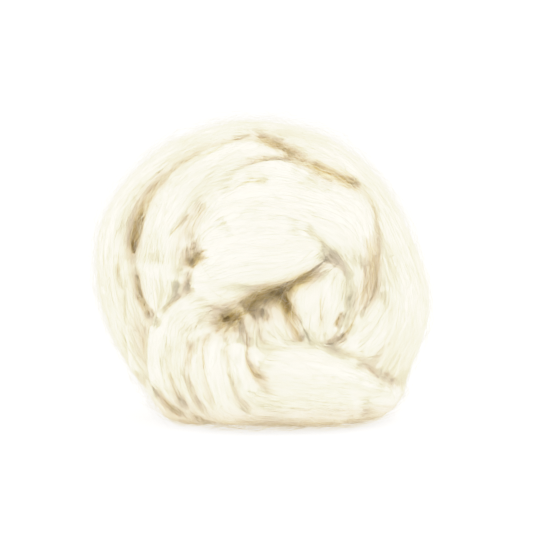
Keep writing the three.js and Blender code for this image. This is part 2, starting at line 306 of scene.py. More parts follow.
# Near the floor the ball's weight presses it flat: heights under SOFT_HEIGHT in the
# tables are squeezed towards the floor, and what comes out under it is cut away.
SOFT_HEIGHT, SQUEEZE, FLOOR_CUT = 8.0, 10.0, 2.0


def table_height(z):
    """The table height that the floor presses to height z."""
    low = np.maximum(z + FLOOR_CUT, 0.05)
    return np.where(z < SOFT_HEIGHT, SOFT_HEIGHT + SQUEEZE * np.log(low / SQUEEZE), z)


def to_table(p):
    return np.concatenate([p[:, :2], table_height(p[:, 2:])], 1)


# ---------------------------------------------------------------- laps
FULL = 2.5  # how full the oval sections are: 2 is an ellipse, more is squarer


class Lap:
    """One lap: its centre line, its oval sections and its pleats, in millimetres."""

    def __init__(self, name, number, rows, round_axis):
        self.name, self.number = name, number
        self.closed = round_axis and rows[-1][0] - rows[0][0] == 360
        n, self.locks, self.soft, self.drawn = COMBED[name]
        r = spline(rows, n, self.closed)
        if round_axis:
            a = np.radians(r[:, 0])
            self.c = np.stack([r[:, 1] * np.cos(a), r[:, 2], BALL[2] + r[:, 1] * np.sin(a)], 1)
        else:
            self.c = r[:, :3]
        self.a, self.b = np.maximum(r[:, 3], 0.5), np.maximum(r[:, 4], 0.5)
        if self.closed:
            along = np.roll(self.c, -1, 0) - np.roll(self.c, 1, 0)
        else:
            along = np.gradient(self.c, axis=0)
        self.along = unit(along)
        if not self.closed:
            self.round_ends()
        out = self.c - BALL
        out = out - (out * self.along).sum(1)[:, None] * self.along
        self.out = unit(out)
        self.across = np.cross(self.along, self.out)
        after = np.roll(self.c, -1, 0) if self.closed else self.c[1:]
        before = self.c if self.closed else self.c[:-1]
        self.step = np.linalg.norm(after - before, axis=1)
        if not self.closed:
            self.step = np.append(self.step, self.step[-1])
        self.s = np.concatenate([[0], np.cumsum(self.step)[:-1]])
        self.n, self.length = len(self.c), self.step.sum()

    def round_ends(self, rings=5, reach=0.8):
        """Adds shrinking sections that round off both ends."""
        for end, side in ((0, -1), (-1, 1)):
            x = np.linspace(0, 1, rings + 1)[1:] * 0.97
            grow = (reach * self.b[end] * np.sin(x * math.pi / 2))[:, None]
            k = np.cos(x * math.pi / 2)
            new = (
                self.c[end] + side * self.along[end] * grow,
                k * self.a[end],
                k * self.b[end],
                np.repeat(self.along[end][None], rings, 0),
            )
            old = (self.c, self.a, self.b, self.along)
            if side < 0:
                both = [np.concatenate([p[::-1], q]) for p, q in zip(new, old)]
            else:
                both = [np.concatenate([q, p]) for p, q in zip(new, old)]
            self.c, self.a, self.b, self.along = both

    def mix(self, values, t):
        """A per-section value at fractional section numbers t."""
        i = np.floor(t).astype(int)
        f = t - i
        if self.closed:
            i, j = i % self.n, (i + 1) % self.n
        else:
            i, j = np.clip(i, 0, self.n - 1), np.clip(i + 1, 0, self.n - 1)
        if values.ndim > 1:
            f = f[..., None]
        return values[i] * (1 - f) + values[j] * f

    def run(self, t):
        """Length along the lap at section t."""
        i = np.clip(np.floor(t).astype(int), 0, self.n - 1)
        return self.s[i] + (t - i) * self.step[i]

    def swell(self, t, th):
        """How far the combed surface stands out of the plain oval at (t, th)."""
        a, b = self.mix(self.a, t), self.mix(self.b, t)
        u, v = np.cos(th), np.sin(th)
        if self.closed:
            turn = 2 * math.pi * t / self.n
            reach = self.length / (2 * math.pi)
            s1, s2 = reach * np.cos(turn), reach * np.sin(turn)
        else:
            s1, s2 = self.run(t), np.zeros_like(t)
        k = 31 * self.number
        lump = noise(np.stack([u * 0.9 + s2 / 40, v * 0.9 + k, s1 / 34], -1), SEED)
        w = 0.35 * noise(np.stack([u * 1.3, v * 1.3 + k + s2 / 60, s1 / 45], -1), SEED + 1)
        lock = noise(
            np.stack([u * a / 4.6 + w * 2 + s2 / 90, v * b / 4.6 + k, s1 / 80], -1), SEED + 2
        )
        fine = noise(
            np.stack([u * a / 2.2 + w * 4 + s2 / 70, v * b / 2.2 + k, s1 / 55], -1), SEED + 3
        )
        d = b * (0.05 * lump + self.locks * (0.5 - np.abs(lock)) * 1.3 + 0.02 * fine)
        return d * np.minimum(1, b / 5)

    def field(self, p, combed=True):
        """About how far points p of the tables' space lie outside the lap, with the
        section and the turn round it that is nearest to each."""
        i = np.empty(len(p), int)
        c = self.c.astype(np.float32)
        c2 = (c**2).sum(1)[None]
        for s in range(0, len(p), 40000):
            q = p[s : s + 40000].astype(np.float32)
            i[s : s + 40000] = (c2 - 2 * (q @ c.T)).argmin(1)
        x = ((p - self.c[i]) * self.along[i]).sum(1) / self.step[i]
        t = i + np.clip(x, -0.7, 0.7)
        if not self.closed:
            t = np.clip(t, 0, self.n - 1)
        q = p - self.mix(self.c, t)
        w, o = (q * self.mix(self.across, t)).sum(1), (q * self.mix(self.out, t)).sum(1)
        a, b = self.mix(self.a, t), self.mix(self.b, t)
        wa, ob = np.maximum(np.abs(w) / a, 1e-6), np.maximum(np.abs(o) / b, 1e-6)
        r = (wa**FULL + ob**FULL) ** (1 / FULL)
        g = np.sqrt((wa ** (FULL - 1) / a) ** 2 + (ob ** (FULL - 1) / b) ** 2)
        d = (r - 1) * r ** (FULL - 1) / np.maximum(g, 1e-6)
        d = np.where(r < 1e-3, -b, np.maximum(d, -1.5 * a))
        th = np.arctan2(o / b, w / a)
        if combed:
            near = np.abs(d) < 7
            d[near] -= self.swell(t[near], th[near])
        past = np.abs((q * self.mix(self.along, t)).sum(1))
        past = np.where(past > 1.5 * self.step[i], past, 0)
        return np.where(past > 0, np.sqrt(np.maximum(d, 0) ** 2 + past**2), d), t, th


laps = {}
for name in COMBED:
    rows = LAPS.get(name) or WRAPS[name]
    laps[name] = Lap(name, len(laps) + 1, rows, name in WRAPS)

# ---------------------------------------------------------------- the ball's form
# Distances from the surface on a grid, all laps run softly together, and the surface
# drawn through the grid with one point in each cell that it crosses.
PITCH, REACH = 0.98, 9.0
GRID_LOW = np.array([-77.0, -66.0, -2 * PITCH])
GRID_N = np.array([158, 133, 137])
axes = [GRID_LOW[i] + PITCH * np.arange(GRID_N[i]) for i in range(3)]


def core_distance(p):
    q = (p - np.array(CORE[0])) / np.array(CORE[1])
    r = np.linalg.norm(q, axis=1)
    g = np.linalg.norm(q / np.array(CORE[1]), axis=1)
    return (r - 1) * r / np.maximum(g, 1e-6)


def blurred(grid, size):
    """A grid averaged over about size millimetres."""
    reach = int(3 * size / PITCH)
    share = np.exp(-0.5 * (np.arange(-reach, reach + 1) * PITCH / size) ** 2)
    share = (share / share.sum()).astype(np.float32)
    grid = grid.astype(np.float32)
    for axis in range(3):
        pad = [(0, 0)] * 3
        pad[axis] = (reach, reach)
        wide = np.moveaxis(np.pad(grid, pad, mode="edge"), axis, 0)
        n = grid.shape[axis]
        grid = np.moveaxis(sum(w * wide[i : i + n] for i, w in enumerate(share)), 0, axis)
    return grid


def near_run(p, run, depth_counts=0.2):
    """Squared distances of points p from a drawn line, mostly as seen from the front,
    the length along the line there, and the way that the line goes there."""
    steps = np.linalg.norm(np.diff(run, axis=0), axis=1)
    nearest, place = np.full(p.shape[:-1], 1e9), np.zeros(p.shape[:-1])
    heading = np.zeros(p.shape)
    for i, (start, end) in enumerate(zip(run[:-1], run[1:])):
        q, way = p - start, end - start
        share = np.clip((q @ way) / (way @ way), 0, 1)
        off = (((q - share[..., None] * way) * (1, depth_counts, 1)) ** 2).sum(-1)
        closer = off < nearest
        place = np.where(closer, steps[:i].sum() + share * steps[i], place)
        heading = np.where(closer[..., None], way / steps[i], heading)
        nearest = np.minimum(nearest, off)
    return nearest, place, heading


# The laps are pressed together: a valley is filled to PACKED mm under the smooth form.
PACK_SIZE, PACKED = 4.5, 0.8


def ball_form():
    """Distances on the grid, and the painted crease shade on the lines between the laps and in the tucks.
    """
    form, lines = np.full(GRID_N, REACH), np.zeros(GRID_N)
    table_z = table_height(axes[2])
    nodes = np.stack(np.meshgrid(axes[0], axes[1], table_z, indexing="ij"), -1)
    form = np.minimum(form, core_distance(nodes.reshape(-1, 3)).reshape(GRID_N))
    for lap in laps.values():
        big = max(lap.a.max(), lap.b.max()) + REACH
        low, high = lap.c.min(0) - big, lap.c.max(0) + big
        part = tuple(
            slice(*np.clip(np.searchsorted(ax, (low[i], high[i])), 0, GRID_N[i]))
            for i, ax in enumerate((axes[0], axes[1], table_z))
        )
        p = nodes[part].reshape(-1, 3)
        c, size = lap.c[::4].astype(np.float32), (np.maximum(lap.a, lap.b) + REACH + 4)[::4]
        near = np.empty(len(p), bool)
        for s in range(0, len(p), 60000):
            q = p[s : s + 60000].astype(np.float32)
            d2 = (q**2).sum(1)[:, None] + (c**2).sum(1)[None] - 2 * (q @ c.T)
            near[s : s + 60000] = (d2 < size[None] ** 2).any(1)
        d = np.full(len(p), REACH)
        d[near] = np.minimum(lap.field(p[near])[0], REACH)
        soft, drawn = np.full(len(p), lap.soft), np.full(len(p), lap.drawn)
        for which, more, (z0, z1), across in SOFTER:
            if which == lap.name:
                much = ease((p[:, 2] - z0) / (z1 - z0))
                if across:
                    much = much * ease((p[:, 0] - across[0]) / (across[1] - across[0]))
                soft += more * much
                drawn *= 1 - much
        before = form[part].ravel()
        line = drawn * np.exp(-(((before - d) / 1.3) ** 2))
        near = line > 0.02
        line[near] *= np.clip(0.7 + 1.1 * noise(p[near] / 15, SEED + 7), 0.05, 1.6)
        covered = lines[part].ravel() * ease((d - before + 1) / 2)
        lines[part] = np.maximum(covered, line).reshape(lines[part].shape)
        form[part] = join(before, d, soft).reshape(form[part].shape)
    for run, half, soft in PACKING:
        form = join(form, np.sqrt(near_run(nodes, np.array(run, float), 1.0)[0]) - half, soft)
    form = join(form, blurred(form, PACK_SIZE) + PACKED, 1.5)
    # Painted shade along the drawn lines between the laps, up to 0.35; the tucks below add theirs by
    # their dark column.
    painted_shade = 0.35 * np.clip(lines / 1.3, 0, 1)
    for number, (run, half, depth, dark) in enumerate(TUCKS):
        run = np.array(run, float)
        room = np.array((4 * half, 14, 4 * half))
        low, high = run.min(0) - room, run.max(0) + room
        part = tuple(
            slice(*np.clip(np.searchsorted(ax, (low[i], high[i])), 0, GRID_N[i]))
            for i, ax in enumerate((axes[0], axes[1], table_z))
        )
        p = nodes[part]
        p = p + 0.5 * np.stack([noise(p / 8, SEED + 20 + i) for i in range(3)], -1)
        nearest, place, _ = near_run(p, run)
        drawn = depth * np.exp(-nearest / half**2)
        if len(run) > 2:
            end = np.minimum(place, np.linalg.norm(np.diff(run, axis=0), axis=1).sum() - place)
            drawn *= ease(0.2 + end / 6) * (1 + 0.3 * noise(p / 12, SEED + 30 + number))
        lines[part] = np.maximum(lines[part], drawn)
        painted_shade[part] = np.maximum(painted_shade[part], dark * np.clip(drawn / depth, 0, 1) ** 1.5)
    form = blurred(form + lines, 0.3).astype(float)
    floor_cut = -(axes[2] - 0.0)[None, None]
    return -join(-form, -np.broadcast_to(floor_cut, form.shape), 1.0), painted_shade


form, painted_shade = ball_form()
slopes = np.stack(np.gradient(form, PITCH), -1).astype(np.float32)


def sample(grid, p):
    """Values of a grid at points p, smoothly between its nodes."""
    q = np.clip((p - GRID_LOW) / PITCH, 0, GRID_N - 1.001)
    i = q.astype(int)
    f = q - i
    out = 0
    for corner in range(8):
        d = np.array([corner & 1, corner >> 1 & 1, corner >> 2 & 1])
        w = np.prod(np.where(d == 1, f, 1 - f), axis=1)
        j = i + d
        value = grid[j[:, 0], j[:, 1], j[:, 2]]
        out = out + (w[:, None] * value if value.ndim > 1 else w * value)
    return out


def skin():
    """Points and quads of the surface where form is 0."""
    inside = form < 0
    n = GRID_N - 1
    corners = [np.array([k & 1, k >> 1 & 1, k >> 2 & 1]) for k in range(8)]

    def cell_part(grid, k):
        return grid[tuple(slice(k[i], k[i] + n[i]) for i in range(3))]

    count = sum(cell_part(inside, k).astype(np.int8) for k in corners)
    cells = np.argwhere((count > 0) & (count < 8))
    total, hits = np.zeros((len(cells), 3)), np.zeros(len(cells))
    for k in corners:
        for axis in range(3):
            if k[axis]:
                continue
            k2 = k.copy()
            k2[axis] = 1
            i, j = cells + k, cells + k2
            f0, f1 = form[i[:, 0], i[:, 1], i[:, 2]], form[j[:, 0], j[:, 1], j[:, 2]]
            cut = (f0 < 0) != (f1 < 0)
            way = np.where(cut, f0 / np.where(cut, f0 - f1, 1), 0)
            place = k[None] + way[:, None] * (k2 - k)[None]
            total += np.where(cut[:, None], place, 0)
            hits += cut
    points = GRID_LOW + PITCH * (cells + total / hits[:, None])
    number = np.full(n, -1)
    number[cells[:, 0], cells[:, 1], cells[:, 2]] = np.arange(len(cells))
    quads = []
    for axis in range(3):
        b, c = (axis + 1) % 3, (axis + 2) % 3
        low = [slice(1, -1)] * 3
        low[axis] = slice(0, -1)
        high = list(low)
        high[axis] = slice(1, None)
        first, second = inside[tuple(low)], inside[tuple(high)]
        at = np.argwhere(first != second)
        start = np.ones(3, int)
        start[axis] = 0
        node = at + start
        faces_out = first[at[:, 0], at[:, 1], at[:, 2]]
        ring = []
        for db, dc in ((-1, -1), (0, -1), (0, 0), (-1, 0)):
            cell = node.copy()
            cell[:, b] += db
            cell[:, c] += dc
            ring.append(number[cell[:, 0], cell[:, 1], cell[:, 2]])
        ring = np.stack(ring, 1)
        quads.append(np.where(faces_out[:, None], ring, ring[:, ::-1]))
    return points, np.concatenate(quads), number


points, quads, cell_point = skin()
points[:, 2] = np.maximum(points[:, 2], 0)


def shelter(p, out):
    """How far a spot is shut in: 0 in the open, 1 at the bottom of a fold. It is the
    share of the ways out of it that the ball and the floor block."""
    solid = form < 0
    side = unit(np.cross(out, (0.31, 0.77, 0.56)))
    up = np.cross(out, side)
    ways, shut = 28, np.zeros(len(p))
    for k in range(ways):
        lean, turn = math.sqrt((k + 0.5) / ways), 2.39996 * k
        way = lean * (math.cos(turn) * side + math.sin(turn) * up) + math.sqrt(1 - lean**2) * out
        hit, low = np.zeros(len(p), bool), np.zeros(len(p), bool)
        for reach in (1.6, 2.8, 4.4, 6.5, 9.0, 12.5, 17.0):
            spot = p + 0.5 * out + reach * way
            i = np.clip(((spot - GRID_LOW) / PITCH + 0.5).astype(int), 0, GRID_N - 1)
            hit |= solid[i[:, 0], i[:, 1], i[:, 2]]
            low |= spot[:, 2] < 0
        shut += np.where(hit, 1.0, np.where(low, 0.5, 0.0))
    return shut / ways


out_ways = unit(sample(slopes, points).astype(float))
sheltered = shelter(points, out_ways)
# Painted shade: sheltered, how shut in each point is, is made deeper along the drawn lines and tucks and
# a little round them; the materials darken and tan the colour by it.
point_shade = np.clip(sample(painted_shade, points), 0, 1)
shade_round_lines = np.clip(1.6 * sample(blurred(painted_shade**1.5, 2.6), points), 0, 0.5)
sheltered = 1 - (1 - sheltered) * (1 - 0.75 * point_shade) * (1 - 0.6 * shade_round_lines)

# Which lap each point belongs to, its place on it, and the way its fibres run.
in_table = to_table(points)
nearest = np.full(len(points), 1e9)
fibre_way = np.zeros((len(points), 3))
lay = np.zeros((len(points), 3))
owner = np.zeros(len(points), int)
for lap in laps.values():
    box = ((in_table > lap.c.min(0) - 34) & (in_table < lap.c.max(0) + 34)).all(1)
    rows = np.flatnonzero(box)
    d, t, th = lap.field(in_table[rows], combed=False)
    won = d < nearest[rows]
    rows, t, th = rows[won], t[won], th[won]
    nearest[rows] = d[won]
    owner[rows] = lap.number
    fibre_way[rows] = lap.mix(lap.along, t)
    lay[rows] = np.stack(
        [lap.mix(lap.a, t) * np.cos(th) + 60 * lap.number, lap.mix(lap.b, t) * np.sin(th), lap.run(t)], 1
    )
edges = np.concatenate([quads[:, [0, 1]], quads[:, [1, 2]], quads[:, [2, 3]], quads[:, [3, 0]]])
edges = edges[edges[:, 0] < edges[:, 1]]
seam = np.zeros(len(points))
other = owner[edges[:, 0]] != owner[edges[:, 1]]
seam[edges[other].ravel()] = 1


def flat(v, out):
    return unit(v - (v * out).sum(1)[:, None] * out)


def spread(values, rounds, ways=False):
    """Values averaged with those of the points next to them, a few times over."""
    for _ in range(rounds):
        total = values.copy()
        for i, j in ((0, 1), (1, 0)):
            near = values[edges[:, j]]
            if ways:
                same = np.sign((near * values[edges[:, i]]).sum(1) + 1e-9)
                near = near * same[:, None]
                for axis in range(3):
                    total[:, axis] += np.bincount(edges[:, i], near[:, axis], len(values))
            else:
                total += np.bincount(edges[:, i], near, len(values))
        if ways:
            values = flat(total, out_ways)
        else:
            values = total / (1 + np.bincount(edges.ravel(), minlength=len(values)))
    return values


for run, half, depth, dark in TUCKS:
    if len(run) > 2:
        run = np.array(run, float)
        room = np.array((4 * half, 14, 4 * half))
        rows = np.flatnonzero(((in_table > run.min(0) - room) & (in_table < run.max(0) + room)).all(1))
        off, _, heading = near_run(in_table[rows], run)
        pull = np.exp(-off / (1.8 * half) ** 2)[:, None]
        heading *= np.sign((heading * fibre_way[rows]).sum(1) + 1e-9)[:, None]
        fibre_way[rows] = unit((1 - pull) * fibre_way[rows] + pull * heading)
fibre_way = spread(flat(fibre_way, out_ways), 5, ways=True)
seam = np.clip(spread(seam, 2) * 2.5, 0, 1)
sheltered = spread(sheltered, 1)

# The nearest surface point for cells a little off the surface.
for _ in range(8):
    for axis in range(3):
        for side in (1, -1):
            moved = np.roll(cell_point, side, axis)
            cell_point = np.where(cell_point < 0, moved, cell_point)


def point_at(p):
    i = np.clip(((p - GRID_LOW) / PITCH).astype(int), 0, GRID_N - 2)
    return np.maximum(cell_point[i[:, 0], i[:, 1], i[:, 2]], 0)


# ---------------------------------------------------------------- meshes
def make_mesh(name, verts, faces, uvs, values, material):
    """A smooth mesh from arrays. faces has 4 columns, or 3; uvs is one pair per corner."""
    me = bpy.data.meshes.new(name)
    sides = faces.shape[1]
    me.vertices.add(len(verts))
    me.vertices.foreach_set("co", ((verts + TO_ORIGIN) / 1000).astype(np.float32).ravel())
    me.loops.add(faces.size)
    me.loops.foreach_set("vertex_index", faces.astype(np.int32).ravel())
    me.polygons.add(len(faces))
    me.polygons.foreach_set("loop_start", np.arange(0, faces.size, sides, dtype=np.int32))
    me.polygons.foreach_set("loop_total", np.full(len(faces), sides, np.int32))
    me.polygons.foreach_set("use_smooth", np.ones(len(faces), bool))
    layer = me.uv_layers.new(name="OFBake")
    layer.uv.foreach_set("vector", uvs.astype(np.float32).ravel())
    for key, data in values.items():
        kind = "FLOAT_VECTOR" if data.ndim == 2 else "FLOAT"
        attribute = me.attributes.new(key, kind, "POINT")
        attribute.data.foreach_set(
            "vector" if data.ndim == 2 else "value", data.astype(np.float32).ravel()
        )
    me.update(calc_edges=True)
    me.validate()
    me.materials.append(material)
    ob = bpy.data.objects.new(name, me)
    bpy.context.scene.collection.objects.link(ob)
    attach(ob, "root")
    return ob


def cells_of(count):
    """A square cell of the texture map for each of count things."""
    side = math.ceil(math.sqrt(count))
    i = np.arange(count)
    return np.stack([i % side, i // side], 1), side


# ---------------------------------------------------------------- fibres
def follow(start, way, length, levels, turn, rng):
    """Paths that run from start along the combing, each held at its levels over the
    surface. Returns points (fibre, station, 3)."""
    stations = levels.shape[1]
    step = length / (stations - 1)
    p, d = start.copy(), way.copy()
    path = []
    for k in range(stations):
        for _ in range(2):
            slope = sample(slopes, p).astype(float)
            size = np.maximum((slope**2).sum(1), 0.2)
            move = (sample(form, p) - levels[:, k]) / size
            p = p - np.clip(move, -1.5, 1.5)[:, None] * slope
        path.append(p.copy())
        out = unit(sample(slopes, p).astype(float))
        new = fibre_way[point_at(p)]
        new = new * np.sign((new * d).sum(1) + 1e-9)[:, None]
        turn = turn + rng.normal(0, 0.035, len(p))
        new = flat(new, out)
        d = unit(new * np.cos(turn)[:, None] + np.cross(out, new) * np.sin(turn)[:, None])
        p = p + d * step[:, None]
    return np.stack(path, 1)


def spindles(p, out, thick):
    """Thin three-sided fibres, pointed at both ends, along the paths p."""
    m, n = p.shape[:2]
    along = unit(np.gradient(p, axis=1))
    side = unit(np.cross(along, out))
    up = np.cross(side, along)
    taper = np.sin(math.pi * np.linspace(0, 1, n)[1:-1]) ** 0.6
    ring = []
    for k in range(3):
        ang = math.pi / 2 + 2 * math.pi * k / 3
        off = side[:, 1:-1] * math.cos(ang) + up[:, 1:-1] * math.sin(ang)
        ring.append(p[:, 1:-1] + off * (thick[:, None] * taper[None])[..., None])
    verts = np.concatenate([np.stack(ring, 2).reshape(m, -1, 3), p[:, :1], p[:, -1:]], 1)
    per, rings = verts.shape[1], n - 2
    tri = []
    for i in range(rings - 1):
        for k in range(3):
            a, b = 3 * i + k, 3 * i + (k + 1) % 3
            tri += [(a, b, b + 3), (a, b + 3, a + 3)]
    first, last = 3 * rings, 3 * rings + 1
    for k in range(3):
        k2 = (k + 1) % 3
        tri += [(k2, k, first), (3 * (rings - 1) + k, 3 * (rings - 1) + k2, last)]
    tri = np.array(tri)
    faces = (tri[None] + (np.arange(m) * per)[:, None, None]).reshape(-1, 3)
    place = np.zeros((per, 2))
    for i in range(rings):
        for k in range(3):
            place[3 * i + k] = ((i + 1) / (n - 1), k / 3)
    place[first], place[last] = (0, 0.4), (1, 0.4)
    corner = place[tri]
    on_ring = tri < 3 * rings
    back_at_start = (tri % 3 == 0) & on_ring & ((tri % 3 == 2) & on_ring).any(1)[:, None]
    corner[..., 1] = np.where(back_at_start, 1.0, corner[..., 1])
    cell, side_cells = cells_of(m)
    uv = (cell[:, None, None] + 0.08 + 0.84 * corner[None]) / side_cells
    return verts.reshape(-1, 3), faces, uv.reshape(-1, 2), per


corner_points = points[quads]
face_size = 0.5 * np.linalg.norm(
    np.cross(corner_points[:, 2] - corner_points[:, 0], corner_points[:, 3] - corner_points[:, 1]), axis=1
)
face_mid = corner_points.mean(1)
face_shelter = sheltered[quads].mean(1)
face_shade = point_shade[quads].mean(1)


def fibre_piece(name, kind, count, weight, material):
    """Fibres of one kind over the ball: laid flat, stray ends, or bridges over creases."""
    rng = np.random.default_rng(SEED + sum(map(ord, name)))
    chance = face_size * weight * (face_mid[:, 2] > 0.6)
    pick = rng.choice(len(quads), count, p=chance / chance.sum())
    w = rng.dirichlet((1, 1, 1, 1), count)
    start = (corner_points[pick] * w[..., None]).sum(1)
    way = fibre_way[quads[pick, 0]] * rng.choice((-1.0, 1.0), count)[:, None]
    if kind == "laid":
        length, n = rng.uniform(22, 70, count), 9
        thick, bend = rng.uniform(0.03, 0.08, count), 0.05
    elif kind == "stray":
        length, n = rng.uniform(8, 28, count), 6
        thick, bend = rng.uniform(0.025, 0.055, count), 0.25
    elif kind == "wisp":
        length, n = rng.uniform(10, 26, count), 6
        thick, bend = rng.uniform(0.03, 0.055, count), 0.5
    else:
        length, n = rng.uniform(5, 20, count), 6
        thick, bend = rng.uniform(0.035, 0.085, count), 0.8
        lean = rng.normal(0, 0.8, count)[:, None]
        way = np.cos(lean) * way + np.sin(lean) * np.cross(out_ways[quads[pick, 0]], way)
    x = np.linspace(0, 1, n)[None]
    if kind == "laid":
        rise = rng.gamma(1.2, 0.12, count).clip(0, 1.2)[:, None]
        tail = rng.uniform(0, 1, count)[:, None]
        level = rng.uniform(-0.08, 0.05, count)[:, None] + rise * (
            np.maximum(2 * x - 1, 0) ** 3 + tail * np.maximum(1 - 2 * x, 0) ** 3
        )
    elif kind == "stray":
        rise = rng.gamma(2.0, 1.1, count).clip(0.4, 6.0)[:, None]
        level = -0.25 + rise * x**1.7
    elif kind == "wisp":
        rise = (1.0 + 5.5 * rng.beta(1.1, 1.7, count))[:, None]
        level = -0.3 + rise * (1 - (1 - x) ** 2.5)
    else:
        rise = rng.gamma(2.5, 0.45, count).clip(0.3, 3.0)[:, None]
        level = -0.3 + rise * np.sin(math.pi * x)
    p = follow(start, way, length, level, rng.normal(0, bend, count), rng)
    keep = (np.linalg.norm(np.diff(p, axis=1), axis=2) < 12).all(1)
    p, thick = p[keep], thick[keep]
    every = p.reshape(-1, 3)
    out = unit(sample(slopes, every).astype(float)).reshape(p.shape)
    # Each fibre point takes the painted crease shade of the surface under it.
    deep = sheltered[point_at(every)].reshape(p.shape[:2])
    p[..., 2] = np.maximum(p[..., 2], 0.22)
    verts, faces, uv, per = spindles(p, out, thick)
    verts[:, 2] = np.maximum(verts[:, 2], 0)
    tone = rng.beta(1.3, 3.6, len(p))
    # Each fibre's painted shade is scaled at random, most for the bridges, so that they speckle.
    deep = deep * np.clip(rng.normal(1, 0.45 if kind == "bridge" else 0.2, len(p)), 0.2, 1.7)[:, None]
    deep = np.concatenate([np.repeat(deep[:, 1:-1], 3, axis=1), deep[:, :1], deep[:, -1:]], 1)
    values = {"tone": np.repeat(tone, per), "deep": deep.ravel()}
    return make_mesh(name, verts, faces, uv, values, material)


def crease_piece(name, material):
    """Single hairs that lie along the creases and pleats, with more painted crease shade, tan to brown,
    than those in the open.
    """
    rng = np.random.default_rng(SEED + 77)
    paths, hair_shade = [], []
    for run, half, depth, dark in TUCKS:
        if len(run) < 3:
            continue
        line = spline(run, 80, False)
        whole = np.append(0, np.cumsum(np.linalg.norm(np.diff(line, axis=0), axis=1)))
        count = int(whole[-1] * (0.26 + 1.2 * dark))
        length = rng.uniform(0.35, 1, count) * min(14, whole[-1])
        begin = rng.uniform(0, 1, count) * (whole[-1] - length)
        at = begin[:, None] + length[:, None] * np.linspace(0, 1, 7)
        p = np.stack([np.interp(at, whole, line[:, i]) for i in range(3)], -1)
        ahead = np.stack([np.interp(at + 0.5, whole, line[:, i]) for i in range(3)], -1)
        behind = np.stack([np.interp(at - 0.5, whole, line[:, i]) for i in range(3)], -1)
        side = unit(np.cross(ahead - behind, (0.0, 1.0, 0.0)))
        off = rng.normal(0, 0.3 * half, (count, 1))
        off = off + rng.normal(0, 0.25 * half, (count, 1)) * np.linspace(-1, 1, 7)
        paths.append(p + off[..., None] * side)
        # Each hair's painted shade grows with its row's dark share.
        hair_shade.append(np.clip(0.5 + 0.4 * dark + rng.normal(0, 0.1, count), 0.2, 0.95))
    p, hair_shade = np.concatenate(paths), np.concatenate(hair_shade)
    pressed = SQUEEZE * np.exp((p[..., 2] - SOFT_HEIGHT) / SQUEEZE) - FLOOR_CUT
    p[..., 2] = np.where(p[..., 2] < SOFT_HEIGHT, pressed, p[..., 2])
    q = p.reshape(-1, 3).copy()
    q[:, 1] = -64
    for _ in range(45):
        away = sample(form, q)
        q[:, 1] += np.where(away > 0.02, np.clip(0.7 * away, 0.03, 5), 0)
    slope = sample(slopes, q).astype(float)
    q = q + unit(slope) * rng.uniform(0.06, 0.16, (len(q), 1))
    p = q.reshape(p.shape)
    gaps = np.linalg.norm(np.diff(p, axis=1), axis=2)
    keep = (gaps < 4.5).all(1) & (p[..., 1] < 0).all(1) & (p[..., 2] > 0.3).all(1)
    p, hair_shade = p[keep], hair_shade[keep]
    out = unit(sample(slopes, p.reshape(-1, 3)).astype(float)).reshape(p.shape)
    verts, faces, uv, per = spindles(p, out, rng.uniform(0.035, 0.07, len(p)))
    values = {
        "tone": np.repeat(rng.beta(1.3, 3.6, len(p)), per),
        "deep": np.repeat(hair_shade, per),
    }
    return make_mesh(name, verts, faces, uv, values, material)


# ---------------------------------------------------------------- materials
def nodes_for(name):
    mat = bpy.data.materials.new(name)
    mat.use_nodes = True
    tree = mat.node_tree
    shader = tree.nodes["Principled BSDF"]

    def add(kind, **inputs):
        node = tree.nodes.new(kind)
        for key, value in inputs.items():
            node.inputs[key.replace("_", " ")].default_value = value
        return node

    return mat, tree, shader, add


def ramp(add, stops):
    node = add("ShaderNodeValToRGB")
    band = node.color_ramp
    while len(band.elements) < len(stops):
        band.elements.new(0.5)
    for element, (at, colour) in zip(band.elements, stops):
        element.position = at
        element.color = (*colour, 1)
    return node


def attribute(add, name):
    node = add("ShaderNodeAttribute")
    node.attribute_name = name
    return node


PALE = (0.745, 0.713, 0.585)
CREAM = (0.720, 0.674, 0.545)
STRAW = (0.660, 0.584, 0.435)
# Painted shade: how the colour is darkened and tinted tan, from the open surface to the bottom of a fold.
CREASE_SHADE = [
    (0.10, (1.0, 0.99, 0.938)),
    (0.22, (0.985, 0.931, 0.908)),
    (0.36, (0.962, 0.888, 0.852)),
    (0.62, (0.84, 0.732, 0.485)),
    (0.88, (0.72, 0.54, 0.19)),
    (1.00, (0.55, 0.39, 0.12)),
]


def creased(add, link, colour, deep):
    """colour made tan and darker where the surface is sheltered: painted crease shade."""
    tint = ramp(add, CREASE_SHADE)
    link(deep.outputs["Fac"], tint.inputs["Fac"])
    shade = add("ShaderNodeMix")
    shade.data_type = "RGBA"
    shade.blend_type = "MULTIPLY"
    shade.inputs["Factor"].default_value = 1.0
    link(colour, shade.inputs[6])
    link(tint.outputs["Color"], shade.inputs[7])
    return shade.outputs[2]


